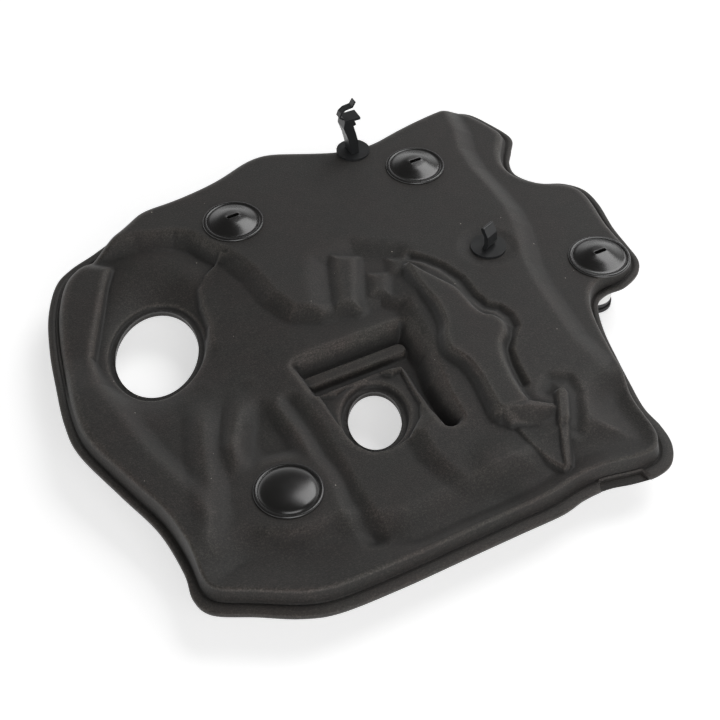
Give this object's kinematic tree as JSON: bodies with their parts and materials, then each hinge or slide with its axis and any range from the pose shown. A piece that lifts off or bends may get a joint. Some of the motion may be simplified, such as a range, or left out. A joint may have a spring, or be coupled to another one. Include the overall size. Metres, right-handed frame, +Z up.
{
  "type": "engine cover",
  "caption": "Moulded felt-faced foam engine cover with two openings, push-on ball mounts under round caps and two line clips.",
  "frame": {"origin": "middle of the cover's plan box, on the plane of the mount feet", "axes": "+X along the straight front edge to the right, +Y to the rear, +Z up"},
  "size_m": [0.4095, 0.3782, 0.0904],
  "materials": {
    "felt": "matt needled felt pressed on foam",
    "cap": "glossy injection-moulded",
    "housing": "satin injection-moulded",
    "rubber": "matt moulded",
    "clip": "satin injection-moulded",
    "label": "smooth bare label"
  },
  "bodies": {
    "root": {"panel": "felt", "cap_rear_left": "cap", "cap_rear_right": "cap", "cap_right": "cap", "cap_front_left": "cap", "housing_rear_left": "housing", "housing_rear_right": "housing", "housing_right": "housing", "housing_front_left": "housing", "socket_rear_left": "rubber", "socket_rear_right": "rubber", "socket_right": "rubber", "socket_front_left": "rubber", "clip_rear": "clip", "clip_right": "clip", "label": "label"}
  },
  "joints": []
}
